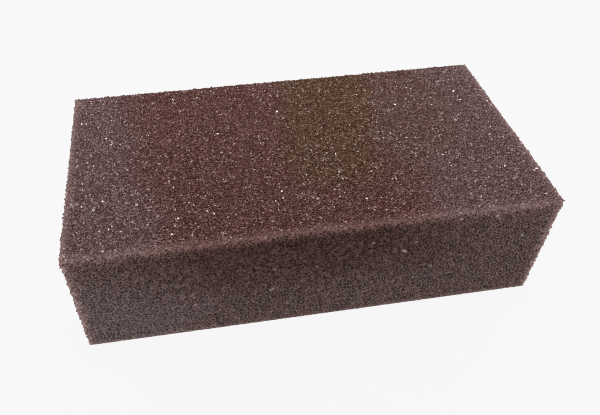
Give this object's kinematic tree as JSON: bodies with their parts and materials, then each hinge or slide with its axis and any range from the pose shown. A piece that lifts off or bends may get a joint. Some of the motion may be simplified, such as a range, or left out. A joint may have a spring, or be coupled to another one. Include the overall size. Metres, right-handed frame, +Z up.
{
  "type": "floral foam brick",
  "caption": "Rectangular block of dark brown open-cell foam, sawn flat on all sides, that holds pushed-in flower stems.",
  "frame": {"origin": "centre of the flat base, on the surface that the brick rests on", "axes": "+X along the length, +Y along the width from the front face to the back face, +Z up through the height"},
  "size_m": [0.2, 0.104, 0.056],
  "materials": {
    "brown_foam": "matte open-cell foam with glinting cell films"
  },
  "bodies": {
    "root": {"foam_brick": "brown_foam"}
  },
  "joints": []
}
